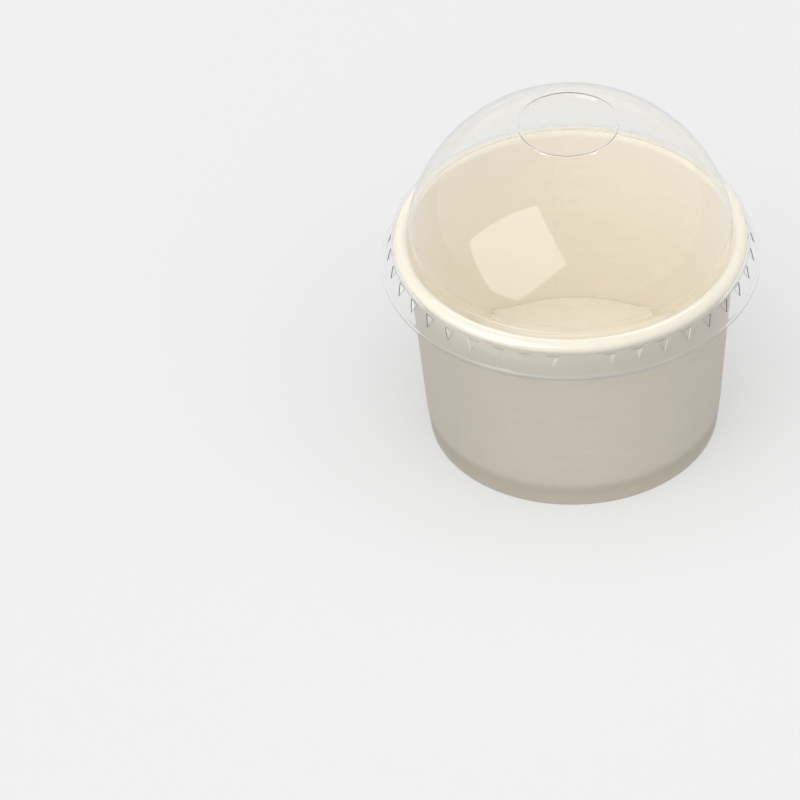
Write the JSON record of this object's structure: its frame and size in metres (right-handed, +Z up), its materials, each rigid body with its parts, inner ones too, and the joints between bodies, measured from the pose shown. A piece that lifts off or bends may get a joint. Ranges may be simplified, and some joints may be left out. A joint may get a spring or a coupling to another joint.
{
  "type": "paper dessert cup",
  "caption": "Round paper dessert cup with a rolled rim and a folded foot, under a clear dome lid that lifts off.",
  "frame": {"origin": "centre of the foot ring, on the surface that the cup stands on", "axes": "+Z up along the cup's axis; -Y is the front, where the lid's row of lugs has a bare place; the wall's lapped side seam is near +Y"},
  "size_m": [0.1019, 0.102, 0.0996],
  "materials": {
    "wall_paperboard": "satin",
    "base_paperboard": "satin",
    "clear_plastic": "clear gloss"
  },
  "bodies": {
    "cup": {"cup_wall": "wall_paperboard", "cup_base": "base_paperboard"},
    "lid": {"dome_lid": "clear_plastic"}
  },
  "joints": [
    {"name": "lid_lift", "type": "slide", "parent": "cup", "child": "lid", "axis": [0, 0, 1], "range_m": [0, 0.06]}
  ]
}
